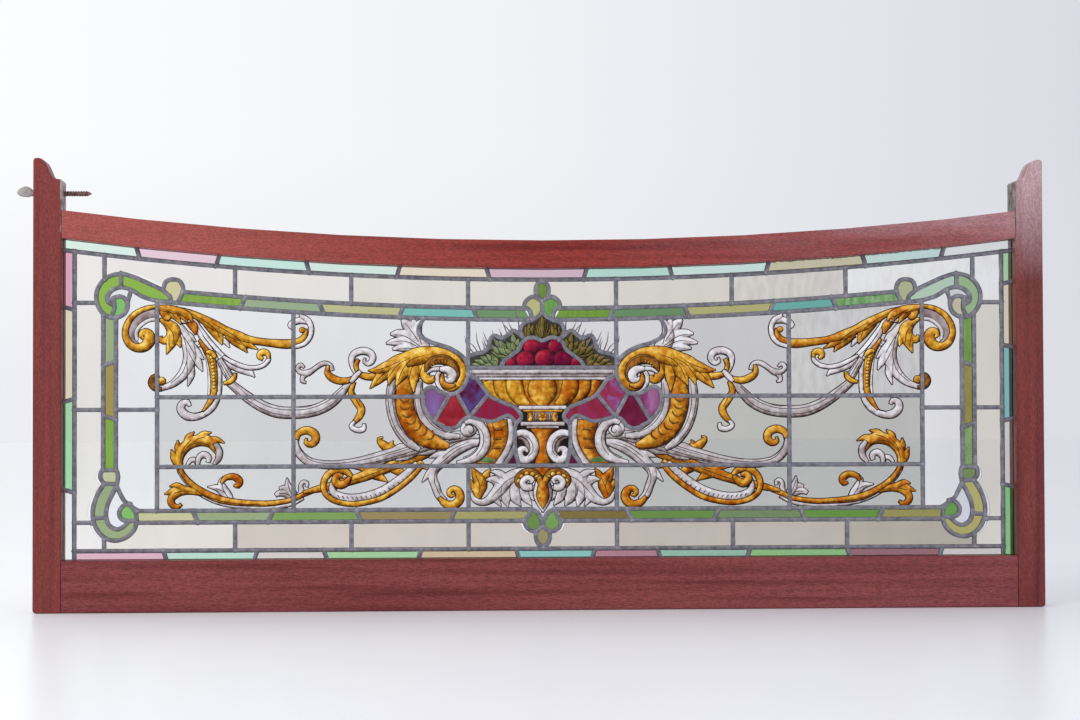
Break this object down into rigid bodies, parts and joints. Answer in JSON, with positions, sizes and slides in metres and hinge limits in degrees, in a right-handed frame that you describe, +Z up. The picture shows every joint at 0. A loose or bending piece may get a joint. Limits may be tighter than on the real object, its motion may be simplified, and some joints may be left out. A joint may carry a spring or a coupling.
{
  "type": "leaded stained glass window sash",
  "caption": "Wide, low window sash: a mahogany frame with horned stiles and a hollow-curved top rail around one leaded panel of painted and coloured glass.",
  "frame": {"origin": "middle of the bottom rail's underside, halfway through the frame's depth", "axes": "+X along the sash to the right as seen from the front, +Y from the front to the back, +Z up"},
  "size_m": [1.2219, 0.04, 0.535],
  "materials": {
    "mahogany": "red-brown mahogany under an old satin polish, open pores along the grain",
    "lead": "drawn lead came, dull grey with a faint violet bloom and slightly domed faces",
    "solder": "tin and lead solder, paler than the came, soft and uneven",
    "rusted_steel": "rusted steel with worn grey on the flat of the head",
    "clear_glass": "clear and faintly cream glass, some of it with a seedy, rippled surface",
    "painted_glass": "clear white glass, the ground of the kiln-fired painting",
    "ruby_glass": "ruby flashed glass, streaked from crimson to deep red",
    "violet_glass": "violet and plum glass, streaked with paler lilac",
    "green_glass": "green and olive cathedral glass of the ribbon band",
    "tinted_glass": "pale tints of pink, mint, aqua and cream in the border",
    "gold_stain": "silver stain fired into the glass, lemon to deep amber",
    "grey_enamel": "matt white and grey glass paint, shaded with soft strokes",
    "trace_paint": "black-brown trace lines of fired glass paint",
    "fruit_enamel": "crimson and purple glass paint on the fruit",
    "leaf_enamel": "olive and brown glass paint on the foliage"
  },
  "bodies": {
    "root": {"left_stile": "mahogany", "right_stile": "mahogany", "top_rail": "mahogany", "bottom_rail": "mahogany", "lead_cames": "lead", "pivot_screw": "rusted_steel", "clear_field_corner_top_left": "clear_glass", "clear_field_corner_top_right": "clear_glass", "clear_field_top_outer_left": "clear_glass", "clear_field_top_outer_right": "clear_glass", "clear_field_top_second_left": "clear_glass", "clear_field_top_second_right": "clear_glass", "clear_field_top_third_left": "clear_glass", "clear_field_top_third_right": "clear_glass", "clear_field_top_inner_left": "clear_glass", "clear_field_top_inner_right": "clear_glass", "clear_field_side_upper_left": "clear_glass", "clear_field_side_upper_right": "clear_glass", "clear_field_side_lower_left": "clear_glass", "clear_field_side_lower_right": "clear_glass", "clear_field_corner_bottom_left": "clear_glass", "clear_field_corner_bottom_right": "clear_glass", "clear_field_bottom_outer_left": "clear_glass", "clear_field_bottom_outer_right": "clear_glass", "clear_field_bottom_second_left": "clear_glass", "clear_field_bottom_second_right": "clear_glass", "clear_field_bottom_third_left": "clear_glass", "clear_field_bottom_third_right": "clear_glass", "clear_field_bottom_inner_left": "clear_glass", "clear_field_bottom_inner_right": "clear_glass", "clear_column_upper_left": "clear_glass", "clear_column_upper_right": "clear_glass", "clear_column_lower_left": "clear_glass", "clear_column_lower_right": "clear_glass", "clear_spray_light_left": "clear_glass", "clear_spray_light_right": "clear_glass", "clear_scroll_light_left": "clear_glass", "clear_scroll_light_right": "clear_glass", "painted_outer_top_left": "painted_glass", "painted_outer_top_right": "painted_glass", "painted_outer_middle_left": "painted_glass", "painted_outer_middle_right": "painted_glass", "painted_outer_bottom_left": "painted_glass", "painted_outer_bottom_right": "painted_glass", "painted_inner_top_left": "painted_glass", "painted_inner_top_right": "painted_glass", "painted_inner_middle_left": "painted_glass", "painted_inner_middle_right": "painted_glass", "painted_inner_bottom_left": "painted_glass", "painted_inner_bottom_right": "painted_glass", "jewel_ruby_kite_left": "ruby_glass", "jewel_ruby_kite_right": "ruby_glass", "jewel_violet_diamond_left": "violet_glass", "jewel_violet_diamond_right": "violet_glass", "foliage_spread_left": "green_glass", "foliage_spread_right": "green_glass", "foliage_crest": "green_glass", "fruit": "ruby_glass", "painted_urn": "painted_glass", "painted_cartouche": "painted_glass"}
  },
  "joints": []
}
